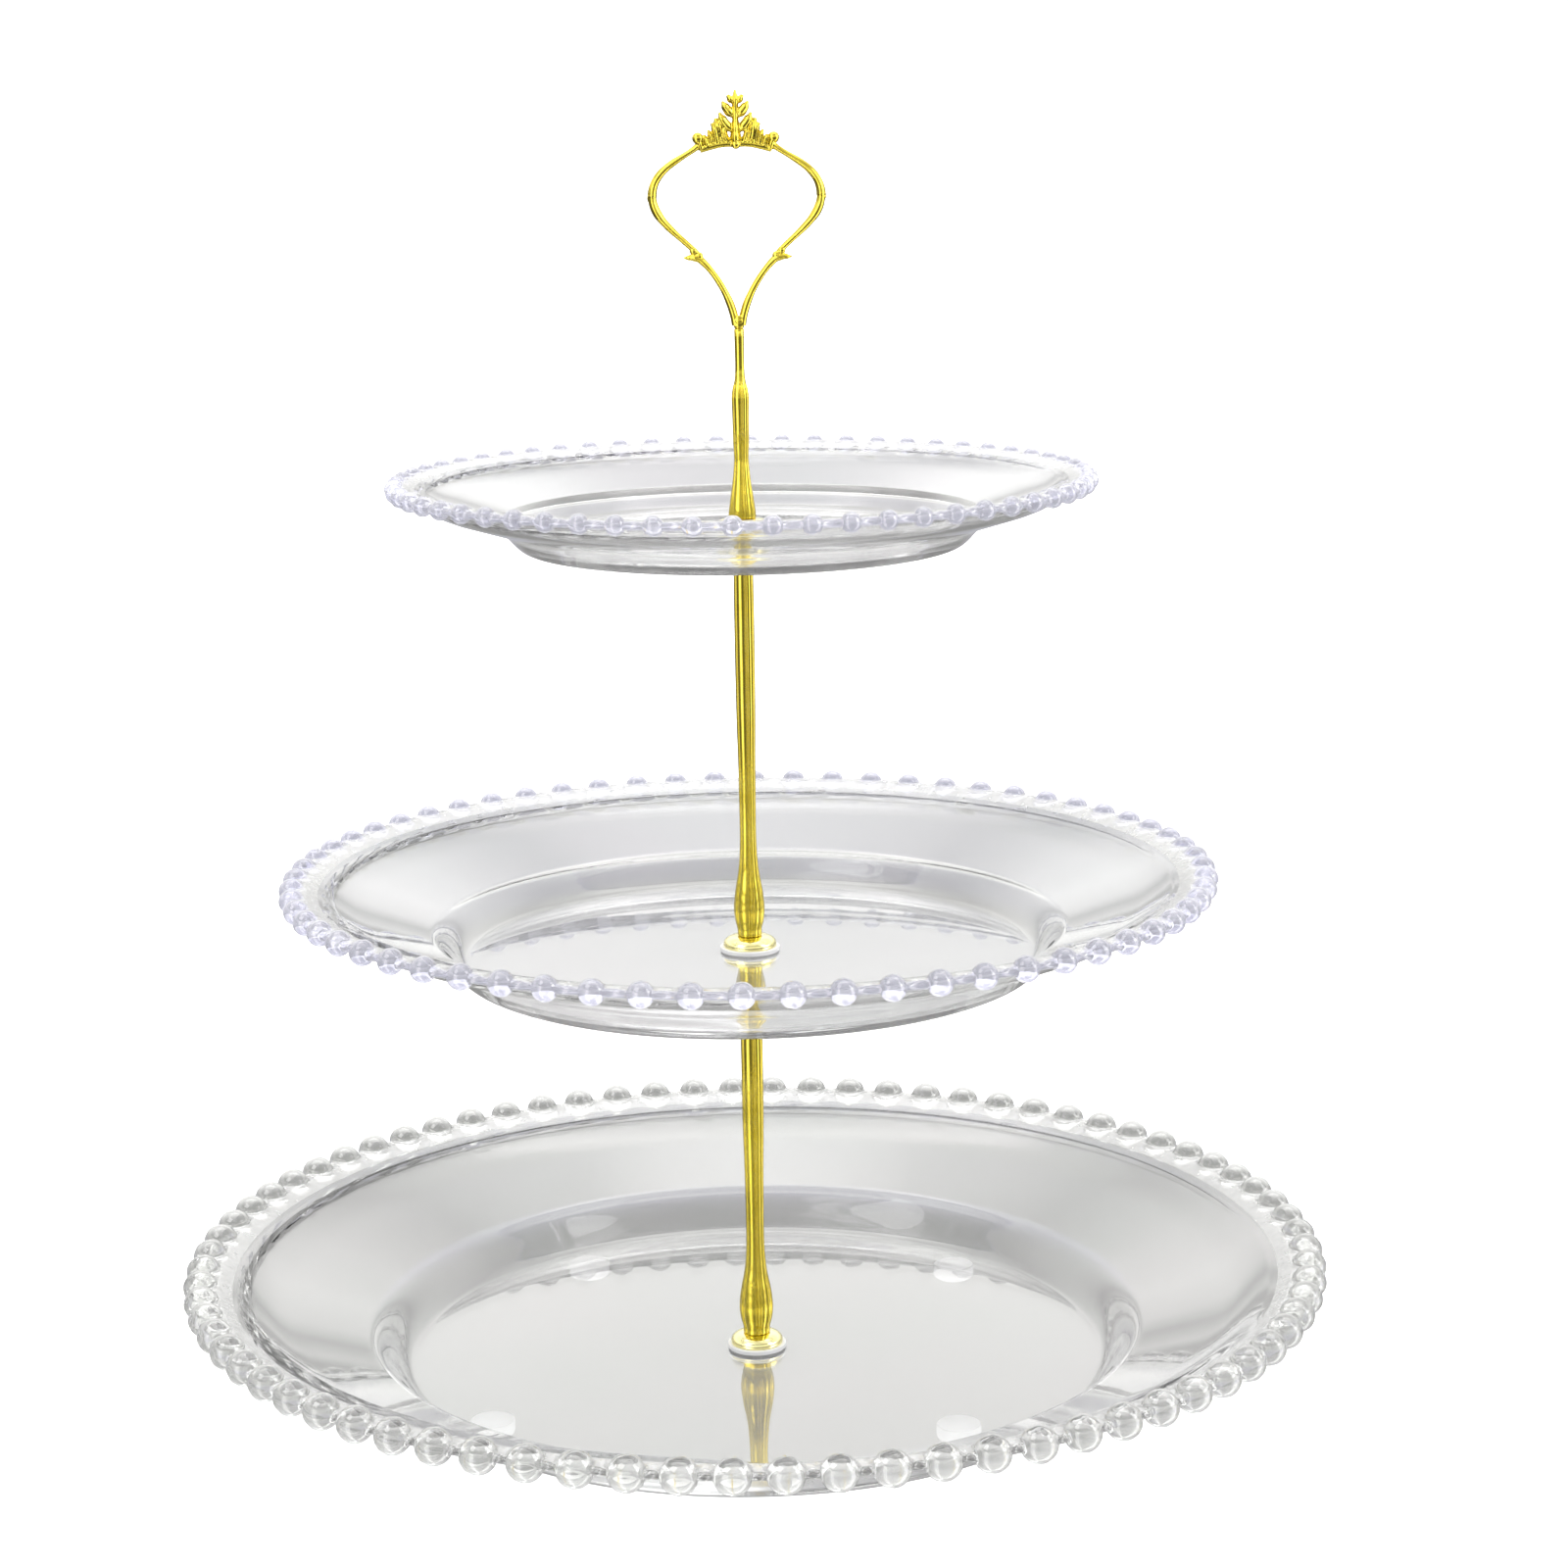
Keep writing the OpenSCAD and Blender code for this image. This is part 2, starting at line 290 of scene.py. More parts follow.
def plate(node, material, edge_material, bead_material):
    """A dish whose edge swells into beads: a coarse dish, a fine edge, and a seam between them."""
    size = PLATES[node]
    beads = size["beads"]
    first = radians(size["first_bead"])
    floor_z = node_box(node)[0][2] + GLASS_T
    face, land_share = upper_face(node)
    verts, faces = [], []

    coarse = dish_outline(face)
    sides = beads * SIDES_PER_BEAD
    for r, h in coarse:
        for k in range(sides):
            a = first + tau * k / sides
            verts.append((r * cos(a), r * sin(a), floor_z + h))
    for i in range(len(coarse) - 1):
        for k in range(sides):
            m = (k + 1) % sides
            faces.append((i * sides + k, i * sides + m, (i + 1) * sides + m, (i + 1) * sides + k))

    # Known fault, kept as tested: the last of the angles is left out, so a bead has an odd number of
    # columns.  The seam below takes an even number, slips behind and leaves the last columns unsewn.
    angles, radii = bead_angles(size["bead_r"], size["d"] / 2 - size["bead_r"], beads)
    columns = len(angles) - 1
    step = (land_share - EDGE_START) / EDGE_STEPS
    inner_up = [face(EDGE_START + step * i) for i in range(EDGE_STEPS + 1)]
    inner_low = lower_face(reversed(inner_up[:LOWER_POINTS]))
    base = len(verts)
    fine_count = len(inner_up) + ROUND_STEPS + 1 + len(inner_low)
    fine_sides = beads * columns
    for b in range(beads):
        for j in range(columns):
            a = first + tau * b / beads + angles[j]
            column = edge_outline(node, radii[j], inner_up, inner_low)
            verts += [(r * cos(a), r * sin(a), floor_z + h) for r, h in column]
    # Faces of the land that get the painted refraction, and faces of the beads
    painted_refraction_faces, beaded = [], []
    for k in range(fine_sides):
        here = base + k * fine_count
        after = base + (k + 1) % fine_sides * fine_count
        for i in range(fine_count - 1):
            if len(inner_up) <= i < len(inner_up) + ROUND_STEPS:
                beaded.append(len(faces))
            elif PAINTED_REFRACTION_START <= i < len(inner_up):
                painted_refraction_faces.append(len(faces))
            faces.append((here + i, here + i + 1, after + i + 1, after + i))

    span = columns // SIDES_PER_BEAD
    low_row = (len(coarse) - 1) * sides
    for k in range(sides):
        m = (k + 1) % sides
        fine = [base + ((k * span + i) % fine_sides) * fine_count for i in range(span + 1)]
        fine_low = [f + fine_count - 1 for f in fine]
        faces.append(tuple([m, k] + fine))
        faces.append(tuple([low_row + k, low_row + m] + list(reversed(fine_low))))

    piece = place(node, node + "_glass", verts, faces, material)
    for index, (extra, chosen) in enumerate([(edge_material, painted_refraction_faces), (bead_material, beaded)], 1):
        piece.data.materials.append(extra)
        for i in chosen:
            piece.data.polygons[i].material_index = index
    return piece


# ---- Materials ----------------------------------------------------------------------------------


def new_material(name):
    """A material with its Principled shader, and the tree to add nodes to."""
    material = bpy.data.materials.new(name)
    material.use_nodes = True
    tree = material.node_tree
    return material, tree, tree.nodes["Principled BSDF"]


def noise(tree, scale, detail, low, high, stretch=(1, 1, 1)):
    """Noise in object space, ranged from low to high.  scale is in features per metre."""
    coord = tree.nodes.new("ShaderNodeTexCoord")
    mapping = tree.nodes.new("ShaderNodeMapping")
    mapping.inputs["Scale"].default_value = stretch
    texture = tree.nodes.new("ShaderNodeTexNoise")
    texture.inputs["Scale"].default_value = scale
    texture.inputs["Detail"].default_value = detail
    ranged = tree.nodes.new("ShaderNodeMapRange")
    ranged.inputs["From Min"].default_value = 0.3
    ranged.inputs["From Max"].default_value = 0.7
    ranged.inputs["To Min"].default_value = low
    ranged.inputs["To Max"].default_value = high
    tree.links.new(coord.outputs["Object"], mapping.inputs["Vector"])
    tree.links.new(mapping.outputs["Vector"], texture.inputs["Vector"])
    tree.links.new(texture.outputs["Fac"], ranged.inputs["Value"])
    return ranged.outputs["Result"]


def bump(tree, shader, height, strength, distance):
    """Bump the shader's normal by a height."""
    node = tree.nodes.new("ShaderNodeBump")
    node.inputs["Strength"].default_value = strength
    node.inputs["Distance"].default_value = distance
    tree.links.new(height, node.inputs["Height"])
    tree.links.new(node.outputs["Normal"], shader.inputs["Normal"])


def mix_colour(tree, factor, colour_a, colour_b):
    """A colour between two, by a factor from 0 to 1."""
    node = tree.nodes.new("ShaderNodeMix")
    node.data_type = "RGBA"
    node.inputs["A"].default_value = (*colour_a, 1)
    node.inputs["B"].default_value = (*colour_b, 1)
    tree.links.new(factor, node.inputs["Factor"])
    return node.outputs["Result"]


def coat(shader, weight, ior, roughness):
    """Lay a clear coat over a shader's body."""
    shader.inputs["Coat Weight"].default_value = weight
    shader.inputs["Coat IOR"].default_value = ior
    shader.inputs["Coat Roughness"].default_value = roughness


def gold_plating(name, colour_a, colour_b):
    """Bright lemon-gold plating on a casting, with faint ripples and handling haze."""
    material, tree, shader = new_material(name)
    shader.inputs["Metallic"].default_value = 1
    coat(shader, 0.5, 1.6, 0.06)
    colour = mix_colour(tree, noise(tree, 180, 3, 0, 1), colour_a, colour_b)
    tree.links.new(colour, shader.inputs["Base Color"])
    tree.links.new(noise(tree, 420, 4, 0.08, 0.16), shader.inputs["Roughness"])
    bump(tree, shader, noise(tree, 900, 3, 0, 1), 0.10, 0.0001)
    return material


def pressed_glass():
    """Clear pressed glass with a slight grey tint and soft mould ripples."""
    material, tree, shader = new_material("pressed_glass")
    shader.inputs["Transmission Weight"].default_value = 0.9
    shader.inputs["IOR"].default_value = 1.33
    coat(shader, 0.8, 1.5, 0.01)
    colour = mix_colour(tree, noise(tree, 14, 2, 0, 1), (0.77, 0.785, 0.78), (0.80, 0.79, 0.80))
    tree.links.new(colour, shader.inputs["Base Color"])
    tree.links.new(noise(tree, 60, 3, 0.0, 0.03), shader.inputs["Roughness"])
    bump(tree, shader, noise(tree, 45, 2, 0, 1), 0.06, 0.0004)
    return material


def bead_glass(name, colour_a, colour_b, clear, ior):
    """The same glass where it swells into beads, with the faint tint of the light it gathers there."""
    material, tree, shader = new_material(name)
    shader.inputs["Transmission Weight"].default_value = clear
    shader.inputs["IOR"].default_value = ior
    coat(shader, 0.8, 1.5, 0.01)
    colour = mix_colour(tree, noise(tree, 120, 2, 0, 1), colour_a, colour_b)
    tree.links.new(colour, shader.inputs["Base Color"])
    tree.links.new(noise(tree, 90, 3, 0.0, 0.04), shader.inputs["Roughness"])
    bump(tree, shader, noise(tree, 160, 2, 0, 1), 0.05, 0.0003)
    return material


def rough_glass_painted_refraction():
    """The last of the rim inside the beads, whose pressed surface is less polished; its white base colour is
    painted refraction, for the light bent through the land.
    """
    material, tree, shader = new_material("rough_glass_painted_refraction")
    shader.inputs["Transmission Weight"].default_value = 0.66
    shader.inputs["IOR"].default_value = 1.5
    colour = mix_colour(tree, noise(tree, 300, 3, 0, 1), (0.86, 0.86, 0.86), (0.93, 0.93, 0.93))
    tree.links.new(colour, shader.inputs["Base Color"])
    tree.links.new(noise(tree, 400, 4, 0.08, 0.3), shader.inputs["Roughness"])
    bump(tree, shader, noise(tree, 350, 3, 0, 1), 0.3, 0.0003)
    return material


def silicone():
    """Soft white silicone, slightly see-through and matt."""
    material, tree, shader = new_material("white_silicone")
    shader.inputs["Transmission Weight"].default_value = 0.1
    shader.inputs["IOR"].default_value = 1.42
    colour = mix_colour(tree, noise(tree, 220, 3, 0, 1), (0.90, 0.90, 0.92), (0.95, 0.95, 0.95))
    tree.links.new(colour, shader.inputs["Base Color"])
    tree.links.new(noise(tree, 500, 3, 0.3, 0.45), shader.inputs["Roughness"])
    bump(tree, shader, noise(tree, 1500, 3, 0, 1), 0.15, 0.00005)
    return material


# ---- Stem ---------------------------------------------------------------------------------------

FLUTE_DEPTH = 0.14
FLUTE_FIRST = radians(-146)

# Outlines from bottom to top: height and diameter, as in the CAD model
COLUMN = [(0, 7.8), (2, 7.9), (4.5, 9.2), (7.5, 9.9), (10.5, 9.6), (14, 8.6), (18, 7), (22, 6),
          (27, 5.4), (34, 5.3), (50, 5.6), (66, 6.2), (90, 6.4), (110, 6.2)]
HANDLE_STEM = [(0, 7.8), (2, 7.5), (6, 6.4), (10, 5.2), (14, 4.4), (17, 4.1), (21, 4.5),
               (29, 4.7), (33, 4.9), (35.5, 4.3), (38, 3.1), (42, 2.6), (52, 2.8)]


def flutes():
    """A factor on the radius: a broad lobe, a thin rib, a narrow lobe and a wider rib, three times round."""
    spans = [(0.0, 0.50), (0.50, 0.10), (0.60, 0.25), (0.85, 0.15)]

    def factor(angle, radius, height):
        if radius < SOCKET_R + 0.2:
            return 1.0
        t = ((angle - FLUTE_FIRST) / tau * 3) % 1.0
        start, width = [span for span in spans if span[0] <= t + 1e-9][-1]
        u = 2 * (t - start) / width - 1
        share = 0.75 if width < 0.2 else 1.0
        return 1 - FLUTE_DEPTH * (0.35 * u * u + 0.65 * u ** 6) * share

    return factor


def column(node, outline, girth, sockets, material):
    """A fluted rod with a threaded socket in its foot and, for a column, in its head."""
    low, high = node_box(node)
    length = high[2] - low[2]
    stretch = length / outline[-1][0]
    side = [(d / 2 * girth, low[2] + z * stretch) for z, d in smooth_curve(outline, 9)]
    foot_l, head_l = sockets
    mouth, corner = 0.25, 0.3
    profile = [(0, low[2] + foot_l), (SOCKET_R, low[2] + foot_l), (SOCKET_R, low[2] + mouth),
               (SOCKET_R + mouth, low[2]), (side[0][0] - 0.35, low[2]), (side[0][0], low[2] + corner)]
    profile += side[2:-2]
    profile += [(side[-1][0], high[2] - corner), (side[-1][0] - corner, high[2])]
    if head_l:
        profile += [(SOCKET_R + mouth, high[2]), (SOCKET_R, high[2] - mouth),
                    (SOCKET_R, high[2] - head_l), (0, high[2] - head_l)]
    else:
        profile += [(0.5, high[2]), (0, high[2])]
    verts, faces = turned(profile, 240, flutes())
    return place(node, node + "_gold", verts, faces, material)


def stud(node, material):
    """A rod with a screw thread cut along it."""
    low, high = node_box(node)
    sides = 24
    rows_per_turn = 8
    rows = int((high[2] - low[2]) / THREAD_PITCH * rows_per_turn)
    depth = 0.16
    outline = [(0, low[2])]
    for i in range(rows + 1):
        outline.append((STUD_R, low[2] + (high[2] - low[2]) * i / rows))
    outline.append((0, high[2]))

    def thread(angle, radius, height):
        t = ((height - low[2]) / THREAD_PITCH - angle / tau) % 1.0
        ends = min(height - low[2], high[2] - height) / THREAD_PITCH
        return 1 - depth / STUD_R * max(abs(2 * t - 1), 1 - ends if ends < 1 else 0)

    verts, faces = turned(outline, sides, thread)
    return place(node, node + "_thread", verts, faces, material)


# ---- Washers, gaskets and feet ------------------------------------------------------------------


def ring_piece(node, outline, material, edge=0.25):
    """A turned ring: its outline is closed and its corners are softened."""
    start = tuple((a + b) / 2 for a, b in zip(outline[0], outline[-1]))
    loop = rounded([start] + outline + [start], edge, 4)[1:]
    verts, faces = turned(loop, 160)
    return place(node, node + "_piece", verts, faces, material)


def domed_washer(node, material):
    """A washer with a short upright edge, a rounded shoulder and a flat top."""
    low, high = node_box(node)
    r, z0, z1 = high[0], low[2], high[2]
    top_r = 4.0
    edge_h = (z1 - z0) * 0.25
    dome = []
    for a in range(0, 91, 9):
        across = (r - top_r) * cos(radians(a))
        up = (z1 - z0 - edge_h) * sin(radians(a))
        dome.append((top_r + across, z0 + edge_h + up))
    outline = [(WASHER_HOLE_R, z0), (r, z0)] + dome + [(WASHER_HOLE_R, z1)]
    return ring_piece(node, outline, material, 0.2)


def flat_ring(node, hole, material, edge):
    """A flat washer or gasket."""
    low, high = node_box(node)
    outline = [(hole, low[2]), (high[0], low[2]), (high[0], high[2]), (hole, high[2])]
    return ring_piece(node, outline, material, edge)


def foot(node, material):
    """A stick-on foot: a low dome, wider where it sticks to the glass."""
    low, high = node_box(node)
    cx, cy = (low[0] + high[0]) / 2, (low[1] + high[1]) / 2
    r, h = (high[0] - low[0]) / 2, high[2]
    corner = 0.3
    outline = [(0, 0)]
    for a in range(0, 91, 9):
        outline.append((r * 0.62 + r * 0.38 * sin(radians(a)), h * 0.35 * (1 - cos(radians(a)))))
    outline += [(r, h - corner), (r - corner, h), (0, h)]
    verts, faces = turned(outline, 96)
    return place(node, node + "_pad", [(x + cx, y + cy, z) for x, y, z in verts], faces, material)


# ---- Ring handle --------------------------------------------------------------------------------

# Curves of the ring's right half seen from the front, over the handle's foot, as in the CAD model
SHOULDER = [(9.6, 50.2), (13.5, 46.2), (23.1, 44.2), (23.1, 36)]
FLANK = [(23.1, 36), (23.1, 30), (16.5, 26), (11.2, 20.6)]
BRANCH = [(0.9, 0.8), (1.5, 7.6), (6.2, 15.2), (10, 18.6)]
LEAF = [(10, 18.6), (11.6, 20), (13.2, 19.2), (14.9, 19.4)]
CROWN_BASE = 50.2


def sweep(verts, faces, curve, widths, thick, steps=24, sides=16, ridge=0.0, lean=0.0):
    """Add a bar swept along a curve in the XZ plane, closed at both ends.

    widths are half widths along the curve; thick is the half thickness as a share of the width;
    a ridge raises the middle of the front and back; lean moves the curve towards the front as it goes.
    """
    base = len(verts)
    pts = [bezier(curve, i / steps) for i in range(steps + 1)]
    for i, p in enumerate(pts):
        d = (pts[min(i + 1, steps)] - pts[max(i - 1, 0)]).normalized()
        t = i / steps * (len(widths) - 1)
        n = min(int(t), len(widths) - 2)
        w = widths[n] + (widths[n + 1] - widths[n]) * ease(t - n)
        for k in range(sides):
            a = tau * k / sides
            y = w * thick * sin(a) * (1 + ridge * abs(sin(a)) ** 6)
            verts.append((p[0] + w * cos(a) * d[1], y - lean * i / steps, p[1] - w * cos(a) * d[0]))
    for i in range(steps):
        for k in range(sides):
            m = (k + 1) % sides
            faces.append((base + i * sides + k, base + (i + 1) * sides + k,
                          base + (i + 1) * sides + m, base + i * sides + m))
    faces.append(tuple(base + k for k in range(sides)))
    faces.append(tuple(base + steps * sides + k for k in reversed(range(sides))))


def ball(verts, faces, centre, r, sides=20):
    """Add a ball."""
    base = len(verts)
    outline = [(r * sin(pi * i / 12), -r * cos(pi * i / 12)) for i in range(13)]
    outline[0], outline[-1] = (0, -r), (0, r)
    new_verts, new_faces = turned(outline, sides)
    verts += [(x + centre[0], y + centre[1], z + centre[2]) for x, y, z in new_verts]
    faces += [tuple(base + i for i in f) for f in new_faces]


def line(a, b, bulge=0.0):
    """Control points of a gently bowed line between two points."""
    a, b = Vector(a), Vector(b)
    side = Vector((-(b - a)[1], (b - a)[0])) * bulge
    return [tuple(a), tuple(a + (b - a) / 3 + side), tuple(a + (b - a) * 2 / 3 + side), tuple(b)]


def crown(verts, faces, z):
    """Add the palmette: a spine with a trefoil tip, fans of ribs and leaves, and balls on its base."""

    def petal(a, b, widths, thick=0.8, bulge=0.0, lean=0.4, ridge=0.35):
        curve = line((a[0], z + a[1]), (b[0], z + b[1]), bulge)
        sweep(verts, faces, curve, widths, thick, 14, 14, ridge, lean)

    petal((0, -1.4), (0, 14.2), [0.6, 1.6, 1.3, 0.9, 0.85, 0.95, 0.3], 0.95, 0, 0.3)
    for s in (-1, 1):
        petal((s * 0.1, 10.8), (s * 2.0, 12.9), [0.6, 1.05, 0.5], 0.9, s * -0.1)
        petal((s * 0.3, 7.2), (s * 3.5, 11.2), [0.8, 1.4, 1.2, 0.35], 0.7, s * -0.08)
        petal((s * 0.5, 3.2), (s * 4.3, 8.2), [0.7, 1.35, 1.3, 0.4], 0.7, s * -0.12)
        petal((s * 1.7, -0.4), (s * 3.1, 4.4), [0.5, 0.9, 0.8, 0.3], 0.9, s * -0.1)
        petal((s * 3.0, -0.5), (s * 4.3, 6.4), [0.5, 0.85, 0.95, 0.45], 1.0, s * -0.1)
        petal((s * 4.2, -0.7), (s * 5.4, 6.7), [0.5, 0.85, 0.95, 0.5], 1.1, s * -0.02)
        petal((s * 5.3, -0.9), (s * 6.5, 5.4), [0.5, 0.8, 0.9, 0.45], 1.0, s * 0.1)
        petal((s * 6.4, -1.1), (s * 7.5, 3.6), [0.5, 0.8, 0.8, 0.35], 0.9, s * 0.08)
        petal((s * 7.6, -1.5), (s * 8.7, 2.3), [0.6, 0.9, 0.8, 0.4], 0.9, s * 0.05)
        petal((s * 9.3, -1.7), (s * 10.1, 0.9), [0.9, 1.05, 1.0], 0.95, 0, 0.2)
        sweep(verts, faces, [(0, z - 0.3), (s * 3.5, z + 0.1), (s * 6, z - 0.6), (s * 9.8, z - 1.7)],
              [0.95, 0.9, 0.95, 0.95], 0.95, 16, 14)
        ball(verts, faces, (s * 10.35, -0.1, z + 1.4), 1.6)
    ball(verts, faces, (0, -0.5, z - 0.4), 1.25)


def handle_ring(node, material):
    """The cast ring with its crown: bars and leaves fused into one skin."""
    z = node_box(node)[0][2]
    verts, faces = [], []

    def up(curve, side):
        return [(side * x, h + z) for x, h in curve]

    for side in (-1, 1):
        sweep(verts, faces, up(SHOULDER, side), [0.95, 0.8, 1.0, 1.15, 1.3], 1.0, 40, 20, 0.15)
        sweep(verts, faces, up(FLANK, side), [1.2, 1.3, 1.05, 0.85, 0.8], 1.0, 40, 20, 0.15)
        sweep(verts, faces, up(BRANCH, side), [1.15, 1.15, 0.95, 0.9, 1.05], 1.0, 40, 20, 0.1)
        sweep(verts, faces, up(LEAF, side), [1.05, 1.15, 0.8, 0.25], 0.9, 16, 16, 0.3)
        spur = line((22.9, 39.8), (23.8, 33.6), 0.06)
        sweep(verts, faces, up(spur, side), [0.3, 0.8, 0.8, 0.15], 0.9, 16, 14)
        ball(verts, faces, (side * 12.1, -0.1, z + 21.2), 1.1)
        ball(verts, faces, (side * 10.6, 0, z + 19.8), 1.15)
    root = [(0, z), (0, z + 1), (0, z + 2), (0, z + 3.5)]
    sweep(verts, faces, root, [1.35, 1.5, 1.7, 1.2], 1.0, 12, 24)
    crown(verts, faces, z + CROWN_BASE)
    piece = place(node, node + "_casting", verts, faces, material)
    fuse(piece, 0.00014, 2)
    return piece


def fuse(piece, voxel, rounds):
    """Melt a piece's overlapping closed forms into one skin."""
    remesh = piece.modifiers.new("fuse", "REMESH")
    remesh.mode = "VOXEL"
    remesh.voxel_size = voxel
    remesh.use_smooth_shade = True
    soften = piece.modifiers.new("soften", "SMOOTH")
    soften.factor = 0.5
    soften.iterations = rounds
    materials = list(piece.data.materials)
    evaluated = piece.evaluated_get(bpy.context.evaluated_depsgraph_get())
    fused = bpy.data.meshes.new_from_object(evaluated)
    piece.modifiers.clear()
    piece.data = fused
    fused.materials.clear()
    for material in materials:
        fused.materials.append(material)
    fused.shade_smooth()


# ---- Build --------------------------------------------------------------------------------------

glass = pressed_glass()
# Rough glass for the land inside the beads, its white base colour painted refraction
rough_edge_painted_refraction = rough_glass_painted_refraction()
clear_beads = bead_glass("bead_glass_clear", (0.84, 0.85, 0.83), (0.90, 0.90, 0.90), 0.9, 1.45)
violet_beads = bead_glass("bead_glass_violet", (0.74, 0.74, 0.89), (0.80, 0.80, 0.94), 0.72, 1.4)
gold = gold_plating("gold_plating", (0.52, 0.40, 0.018), (0.59, 0.465, 0.035))
# A lighter, creamier copy of the gold for the domed washers: painted highlight, standing in for the glare
# that light gives their upward-facing domes
gold_painted_highlight = gold_plating("gold_plating_painted_highlight", (0.80, 0.72, 0.30), (0.85, 0.78, 0.38))
white = silicone()

for plate_node in PLATES:
    tint_of_beads = clear_beads if plate_node == "bottom_plate" else violet_beads
    plate(plate_node, glass, rough_edge_painted_refraction, tint_of_beads)
column("lower_column", COLUMN, 1.0, (SOCKET_L + 1, SOCKET_L + 1), gold)
column("middle_column", COLUMN, 0.89, (SOCKET_L + 1, SOCKET_L + 1), gold)
column("handle_stem", HANDLE_STEM, 1.0, (HANDLE_SOCKET_L, 0), gold)
handle_ring("crown_loop", gold)
for stud_node in ("middle_stud", "handle_stud"):
    stud(stud_node, gold)
for tier in ("base", "middle", "top"):
    # The domes take the copy of the gold with the painted highlight
    domed_washer(tier + "_upper_washer", gold_painted_highlight)
    flat_ring(tier + "_lower_washer", WASHER_HOLE_R, gold, 0.25)
    flat_ring(tier + "_upper_gasket", GASKET_HOLE_R, white, 0.15)
    flat_ring(tier + "_lower_gasket", GASKET_HOLE_R, white, 0.15)
for foot_node in ("foot_front_left", "foot_front_right", "foot_back_left", "foot_back_right"):
    foot(foot_node, white)
# The bolt keeps its CAD mesh
bolt_materials = frame["nodes"]["base_bolt"].data.materials
bolt_materials.clear()
bolt_materials.append(gold)


# ---- Studio -------------------------------------------------------------------------------------

# The camera that matches the photograph: millimetres, metres and degrees
LENS = 77.42
SENSOR = 36
CAMERA_AT = (0, -0.9358, 0.3735)
PAN = -0.64
LOOK_DOWN = 11.92
ROLL = -0.89

FLOOR_HALF = 400
LAMPS_LOOK_AT = (0, 0, 0.15)

# The world's strength from straight down (0) to straight up (1)
HEIGHT_STOPS = [(0, 0.85), (0.12, 0.7), (0.22, 0.33), (0.29, 0.31), (0.32, 0.35), (0.373, 0.49),
                (0.433, 0.52), (0.48, 0.62), (0.497, 1.1), (0.51, 1.1), (0.518, 0.6), (0.55, 0.6),
                (0.567, 1.0), (0.598, 0.75), (0.627, 1.3), (0.68, 1.75), (0.75, 1.8), (0.835, 1.4),
                (0.905, 2.4), (0.935, 4.2), (1, 4.2)]
# Shares from the camera's side (0) to the far side (1): of the strength high up, and of the strips
BACK_STOPS = [(0.35, 0.42), (0.7, 1.0)]
NEAR_STOPS = [(0.68, 1.0), (0.8, 0.0)]
# Strength across a strip, from between two strips (0) to the middle of one (1)
STRIP_STOPS = [(0, 0.0), (0.45, 0.0), (0.62, 0.5), (0.86, 1.2), (0.93, 3.2), (1, 3.4)]
STRIPS = 3
STRIPS_FIRST = radians(210)
STRIPS_TOP = 0.45
# How much of the warm tint there is, from straight down (0) to straight up (1)
TINT_STOPS = [(0, 0.8), (0.33, 1.0), (0.38, 0.3), (0.47, 0.3), (0.5, 1.0)]
BACKDROP = 1.12


def camera():
    """The camera: square on and looking down, with the stand a little left of the picture's middle."""
    data = bpy.data.cameras.new("camera")
    data.lens = LENS
    data.sensor_width = SENSOR
    cam = bpy.data.objects.new("camera", data)
    turn = Matrix.Rotation(radians(PAN), 4, "Z") @ Matrix.Rotation(radians(90 - LOOK_DOWN), 4, "X")
    cam.matrix_world = Matrix.Translation(CAMERA_AT) @ turn @ Matrix.Rotation(radians(ROLL), 4, "Z")
    bpy.context.scene.collection.objects.link(cam)
    bpy.context.scene.camera = cam


def floor_plane():
    """A wide pale table top, lit from within like a light table so that no shadow greys it."""
    size = FLOOR_HALF
    mesh = bpy.data.meshes.new("floor")
    corners = [(-size, -size, 0), (size, -size, 0), (size, size, 0), (-size, size, 0)]
    mesh.from_pydata(corners, [], [(0, 1, 2, 3)])
    material, tree, shader = new_material("pale_floor")
    colour = mix_colour(tree, noise(tree, 3, 2, 0, 1), (0.78, 0.78, 0.78), (0.8, 0.8, 0.8))
    tree.links.new(colour, shader.inputs["Base Color"])
    shader.inputs["Roughness"].default_value = 0.9
    shader.inputs["Emission Color"].default_value = (1, 1, 1, 1)
    shader.inputs["Emission Strength"].default_value = 0.7
    mesh.materials.append(material)
    obj = bpy.data.objects.new("floor", mesh)
    obj.visible_glossy = False
    obj.visible_transmission = False
    obj.visible_shadow = False
    bpy.context.scene.collection.objects.link(obj)


def area_light(name, place_at, look_at, size, power):
    """A soft rectangular light."""
    data = bpy.data.lights.new(name, "AREA")
    data.shape = "RECTANGLE"
    data.size, data.size_y = size
    data.energy = power
    light = bpy.data.objects.new(name, data)
    direction = Vector(look_at) - Vector(place_at)
    light.rotation_euler = direction.to_track_quat("-Z", "Y").to_euler()
    light.location = place_at
    bpy.context.scene.collection.objects.link(light)


